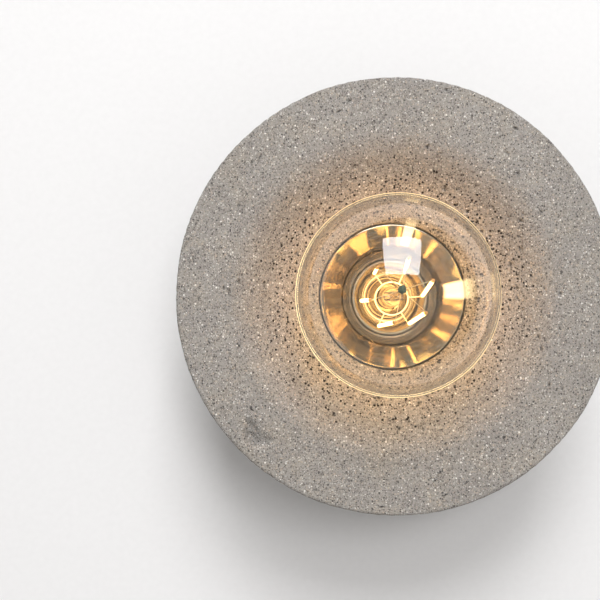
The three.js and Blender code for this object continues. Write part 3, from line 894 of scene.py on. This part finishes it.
def frontCarrier():
    centre = cage["front"] + Vector((0, 0, -0.9)) * mm
    wires = [drawWire("frontRing", circleOf(centre, 2.0 * mm, 12), 0.16 * mm, 8, closed=True)]
    for i in range(cage["count"]):
        out = (cagePoint(i, 1.0) - cage["front"]).normalized()
        end = cagePoint(i, 1.0) - Vector((0, 0, 0.7)) * mm
        wires.append(drawWire("ray", [
            centre + out * 2.0 * mm, centre + out * 6 * mm + Vector((0, 0, 0.5)) * mm,
            centre + out * 11 * mm, end, end + Vector((0, 0, 1.6)) * mm,
        ], 0.17 * mm))
    return joinPieces("frontCarrier", wires)


stem = {
    "flareZ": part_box("glass_stem")[1].z,
    "pinchFront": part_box("glass_stem")[0].z,
    "pinchWide": 9.0 * mm,
    "pinchThick": 3.4 * mm,
    "pinchLong": 7.6 * mm,
    "rod": 1.0 * mm,
    "bead": 2.0 * mm,
}


def glassStem():
    front, flare = stem["pinchFront"] + 2 * mm, stem["flareZ"]
    bell = [(10.9 * mm, flare), (8.6 * mm, flare - 3 * mm), (6.3 * mm, flare - 8 * mm)]
    bell += [(5.2 * mm, flare - 15 * mm), (5.0 * mm, front + 8 * mm)]
    bell += [(3.6 * mm, front + 5.8 * mm), (0.8 * mm, front + 5.2 * mm)]
    inside = [(0.8 * mm, front + 6.4 * mm), (4.2 * mm, front + 8.4 * mm)]
    inside += [(4.4 * mm, flare - 15 * mm), (10.1 * mm, flare)]
    tube = turnOutline("stemTube", roundCorners(bell + inside, 1.4 * mm, 4), 48, 60)
    clearSelection()
    bpy.ops.mesh.primitive_cube_add(size=1, location=(0, 0, stem["pinchFront"] + stem["pinchLong"] / 2))
    pinch = bpy.context.object
    pinch.scale = (stem["pinchWide"], stem["pinchThick"], stem["pinchLong"])
    bpy.ops.object.transform_apply(location=True, rotation=True, scale=True)
    bpy.ops.object.mode_set(mode="EDIT")
    bpy.ops.mesh.select_all(action="SELECT")
    bpy.ops.mesh.subdivide(number_cuts=15)
    bpy.ops.object.mode_set(mode="OBJECT")
    points = readPoints(pinch)
    # pressed between ribbed jaws, and a little wider at its front
    ribs = np.sin((points[:, 0] + points[:, 2]) * 2 * math.pi / (1.5 * mm)) * 0.4 * mm
    points[:, 1] += np.sign(points[:, 1]) * ribs * (np.abs(points[:, 1]) > 1.5 * mm)
    points[:, 0] *= 1.05 - 0.12 * (points[:, 2] - stem["pinchFront"]) / stem["pinchLong"]
    writePoints(pinch, points)
    soften = pinch.modifiers.new("soften", "BEVEL")
    soften.width = 0.3 * mm
    soften.segments = 2
    soften.limit_method = "ANGLE"
    applyModifiers(pinch)
    settle(pinch, "stemPinch", 50)
    return joinPieces("stemAndPinch", [tube, pinch])


def centreRod():
    start, end = cage["rear"], cage["front"] - Vector((0, 0, 1.8)) * mm
    rod = drawWire("rod", [start.lerp(end, i / 6) for i in range(7)], stem["rod"], 16)
    clearSelection()
    middle = end - Vector((0, 0, 0.8)) * mm
    bpy.ops.mesh.primitive_uv_sphere_add(segments=32, ring_count=18, radius=stem["bead"], location=middle)
    bead = bpy.context.object
    bpy.ops.object.transform_apply(location=True, rotation=True, scale=True)
    points = readPoints(bead)
    middle = np.array(middle)
    away = points - middle
    lumps = 1 + 0.07 * np.sin(away[:, 0] * 2100 + 1)
    lumps += 0.06 * np.sin(away[:, 1] * 2600)
    lumps += 0.05 * np.sin(away[:, 2] * 1900 + 2)
    writePoints(bead, middle + away * lumps[:, None])
    settle(bead, "rodBead", 60)
    return rod, bead


fit(glassStem(), stemGlass, "lamp", "glass", "glass_stem")
glassRod, rodBead = centreRod()
fit(glassRod, stemGlass, "lamp", "glass", "centre_rod")
fit(rodBead, beadGlass, "lamp", "glass")
fit(rearCarrier(), carrierWire, "lamp", "zinc_steel", "rear_carrier")
fit(frontCarrier(), carrierWire, "lamp", "zinc_steel", "front_carrier")
print("filaments made")


# The housing, with the holes for its screws

housing = {"wall": 1.2 * mm, "screwHole": 2.1 * mm, "roll": 2.2 * mm, "steps": 160}


def makeHousing():
    low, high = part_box("housing")
    outer, wall, roll = high.x, housing["wall"], housing["roll"]
    outline = [(outer, high.z)] + [(outer, high.z + (low.z + roll - high.z) * i / 8) for i in range(1, 9)]
    outline += arcPoints(outer - roll, low.z + roll, roll, 0, -90, 6)[1:]
    outline += [(40 * mm, low.z), (30 * mm, low.z), (30 * mm, low.z + wall), (40 * mm, low.z + wall)]
    outline += arcPoints(outer - roll, low.z + roll, roll - wall, -90, 0, 6)
    outline += [(outer - wall, high.z - 4 * mm), (outer - wall, high.z)]
    shell = turnOutline("housingShell", outline, housing["steps"], 35)
    screwLow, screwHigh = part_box("grub_screw_1")
    middle = (screwLow + screwHigh) / 2
    for i in range(3):
        turn = math.atan2(middle.y, middle.x) + i * 2 * math.pi / 3
        clearSelection()
        bpy.ops.mesh.primitive_cylinder_add(
            vertices=32, radius=housing["screwHole"], depth=8 * mm,
            location=(outer * math.cos(turn), outer * math.sin(turn), middle.z),
            rotation=(0, math.pi / 2, turn),
        )
        cutAway(shell, bpy.context.object)
    return settle(shell, "housingShell", 35)


fit(makeHousing(), paintedSteel, "fixture", "painted_steel", "housing")
print("housing made")


# The CAD's own pieces that stay, with their finishes

finishes = {
    "zinc_steel": zinc, "brass": brass, "chrome": nickel, "painted_steel": paintedSteel,
    "porcelain": porcelain, "rubber": rubber, "nylon": nylon, "board": boardTan,
    "glass": stemGlass, "black_glass": blackGlass, "stone": stone, "phosphor": phosphor,
    "brown_wire": brownSleeve, "blue_wire": blueSleeve, "green_wire": greenSleeve,
}
slotOf = {entry["node"]: entry["material_slot"] for entry in record["subparts"]}
for nodeName, node in nodes.items():
    if not node.hide_render:
        node.data.materials.clear()
        node.data.materials.append(finishes[slotOf[nodeName]])
print("kept nodes finished")


# The ceiling, the lights and the camera

studio = {
    "ceiling": (0.88, 0.875, 0.87),
    "ceilingSize": 6.0,
    "lightsAway": 2.4,
    # degrees off the axis, degrees round it, power and size
    "lights": [("keyLight", 39, -89, 35.5, (0.9, 1.0)), ("fillLight", 15, -58, 14.0, (0.6, 0.6))],
    "lightColour": (0.99, 0.99, 1.0),
    "boxWay": (43, -88),
    "boxSize": (1.6, 1.9),
    "boxShine": 17.0,  # how bright the light box looks in the glass
    "below": 0.56,
    "sides": 0.15,
    "above": 0.8,
    "glow": 0.215,
    "neckGlow": 0.12,
    "glowColour": (1.0, 0.66, 0.36),
}
camera = {
    "place": Vector((-40, 10, -620)) * mm,
    "tilt": (-0.61, 0.88),  # degrees off the light's axis, across and down
    "lens": 65.29,
    "sensor": 36.0,
}


def makeCeiling():
    clearSelection()
    bpy.ops.mesh.primitive_plane_add(size=studio["ceilingSize"], location=(0, 0, 0.6 * mm))
    ceiling = settle(bpy.context.object, "ceilingBoard")
    recipe = Recipe("ceilingPaint")
    grain = recipe.noise(300, 3)
    mottle = recipe.remap(grain.outputs["Fac"], 0.3, 0.7)
    recipe.set(
        Base_Color=recipe.blend(mottle, studio["ceiling"], (0.9, 0.895, 0.89)),
        Roughness=0.9,
        Normal=recipe.bump(grain.outputs["Fac"], 0.00005, 0.2),
    )
    # open from above and over the ceiling plate, so that the light can be looked at from behind
    clear = recipe.node("ShaderNodeBsdfTransparent")
    side = recipe.node("ShaderNodeNewGeometry")
    mix = recipe.node("ShaderNodeMixShader")
    overPlate = recipe.maths("LESS_THAN", recipe.axisDistance(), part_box("housing")[1].x)
    recipe.join(recipe.maths("MAXIMUM", side.outputs["Backfacing"], overPlate), mix.inputs["Fac"])
    recipe.join(recipe.shader.outputs["BSDF"], mix.inputs[1])
    recipe.join(clear.outputs["BSDF"], mix.inputs[2])
    recipe.join(mix.outputs["Shader"], recipe.output.inputs["Surface"])
    ceiling.data.materials.append(recipe.material)
    takeUp(ceiling)
    bpy.ops.object.mode_set(mode="EDIT")
    bpy.ops.mesh.select_all(action="SELECT")
    bpy.ops.mesh.flip_normals()  # its painted side faces down
    bpy.ops.object.mode_set(mode="OBJECT")


def addLight(name, kind, place, target, power, colour, size):
    clearSelection()
    bpy.ops.object.light_add(type=kind, location=place)
    light = bpy.context.object
    light.name = name
    light.data.energy = power
    light.data.color = colour
    if kind == "AREA":
        light.data.shape = "RECTANGLE"
        light.data.size, light.data.size_y = size
        light.rotation_mode = "QUATERNION"
        light.rotation_quaternion = (target - place).to_track_quat("-Z", "Y")
    else:
        light.data.shadow_soft_size = size[0]
    return light


def makeLightBox(place, target):
    # the cloth front of the light box, which only shows as a reflection
    clearSelection()
    bpy.ops.mesh.primitive_plane_add(size=1, location=(0, 0, 0))
    card = bpy.context.object
    card.scale = (*studio["boxSize"], 1)
    card.location = place
    card.rotation_mode = "QUATERNION"
    card.rotation_quaternion = (target - place).to_track_quat("-Z", "Y")
    settle(card, "lightBox")
    recipe = Recipe("lightBoxCloth")
    folds = recipe.node("ShaderNodeTexNoise")
    stretch = recipe.node("ShaderNodeMapping")
    stretch.inputs["Scale"].default_value = (0.3, 2.2, 2.2)
    recipe.join(recipe.place, stretch.inputs["Vector"])
    recipe.join(stretch.outputs["Vector"], folds.inputs["Vector"])
    folds.inputs["Scale"].default_value = 3.0
    folds.inputs["Detail"].default_value = 2.0
    recipe.set(
        Base_Color=recipe.blend(folds.outputs["Fac"], (0.8, 0.8, 0.8), (0.9, 0.9, 0.9)),
        Emission_Color=recipe.blend(
            recipe.remap(folds.outputs["Fac"], 0.35, 0.65), (0.72, 0.76, 0.84), (1.0, 1.0, 1.0),
        ),
        Emission_Strength=studio["boxShine"],
    )
    card.data.materials.append(recipe.material)
    for ray in ("camera", "diffuse", "shadow", "transmission", "volume_scatter"):
        setattr(card, "visible_" + ray, False)


makeCeiling()
lampCentre = Vector((0, 0, globe["centre"]))


def lightWay(fromAxis, turn):
    # direction towards a light: degrees off the light's axis, and degrees round it
    fromAxis, turn = math.radians(fromAxis), math.radians(turn)
    out = math.sin(fromAxis)
    return Vector((out * math.cos(turn), out * math.sin(turn), -math.cos(fromAxis)))


for lightName, fromAxis, turn, power, size in studio["lights"]:
    place = lampCentre + lightWay(fromAxis, turn) * studio["lightsAway"]
    softLight = addLight(lightName, "AREA", place, lampCentre, power, studio["lightColour"], size)
    softLight.visible_glossy = False
    softLight.visible_transmission = False
makeLightBox(lampCentre + lightWay(*studio["boxWay"]) * studio["lightsAway"], lampCentre)
innerGlows = [
    ("lampGlow", lampCentre + Vector((0, 0, 4 * mm)), studio["glow"], 14 * mm),
    ("neckGlow", Vector((0, 0, -62 * mm)), studio["neckGlow"], 5 * mm),
]
for glowName, place, power, radius in innerGlows:
    innerGlow = addLight(glowName, "POINT", place, lampCentre, power, studio["glowColour"], (radius, 0))
    innerGlow.visible_camera = False
    innerGlow.visible_glossy = False
    innerGlow.visible_transmission = False
world = bpy.data.worlds.new("studioWorld")
bpy.context.scene.world = world
world.use_nodes = True
sky = world.node_tree
background = sky.nodes["Background"]
background.inputs["Color"].default_value = (1.0, 0.975, 0.955, 1)
way = sky.nodes.new("ShaderNodeTexCoord")
parts = sky.nodes.new("ShaderNodeSeparateXYZ")
sky.links.new(way.outputs["Generated"], parts.inputs["Vector"])
total = sky.nodes.new("ShaderNodeMath")
# bright below, behind the camera, and dimmer at the sides; then light from above, which the ceiling
# keeps from everything under it
skySteps = [(-0.78, -0.5, studio["below"], studio["sides"]), (0.0, 0.5, 0.0, studio["above"])]
for i, limits in enumerate(skySteps):
    step = sky.nodes.new("ShaderNodeMapRange")
    step.interpolation_type = "SMOOTHSTEP"
    for key, value in zip(("From Min", "From Max", "To Min", "To Max"), limits):
        step.inputs[key].default_value = value
    sky.links.new(parts.outputs["Z"], step.inputs["Value"])
    sky.links.new(step.outputs["Result"], total.inputs[i])
sky.links.new(total.outputs["Value"], background.inputs["Strength"])

cameraData = bpy.data.cameras.new("studioCamera")
cameraData.lens = camera["lens"]
cameraData.sensor_width = camera["sensor"]
cameraObject = bpy.data.objects.new("studioCamera", cameraData)
bpy.context.scene.collection.objects.link(cameraObject)
bpy.context.scene.camera = cameraObject
across, down = (math.radians(angle) for angle in camera["tilt"])
forward = Vector((math.sin(across), -math.sin(down) * math.cos(across), math.cos(down) * math.cos(across)))
right = Vector((math.cos(across), 0, -math.sin(across)))
right = (right - forward * right.dot(forward)).normalized()
up = right.cross(forward)
cameraObject.matrix_world = Matrix((
    (right.x, up.x, -forward.x, camera["place"].x),
    (right.y, up.y, -forward.y, camera["place"].y),
    (right.z, up.z, -forward.z, camera["place"].z),
    (0, 0, 0, 1),
))

scene = bpy.context.scene
scene.view_settings.view_transform = "Standard"
scene.view_settings.look = "None"
scene.cycles.use_denoising = True
scene.cycles.caustics_reflective = False
scene.cycles.caustics_refractive = False
scene.cycles.max_bounces = 14
scene.cycles.transmission_bounces = 12
scene.cycles.transparent_max_bounces = 16
scene.cycles.sample_clamp_indirect = 6
print("studio made")
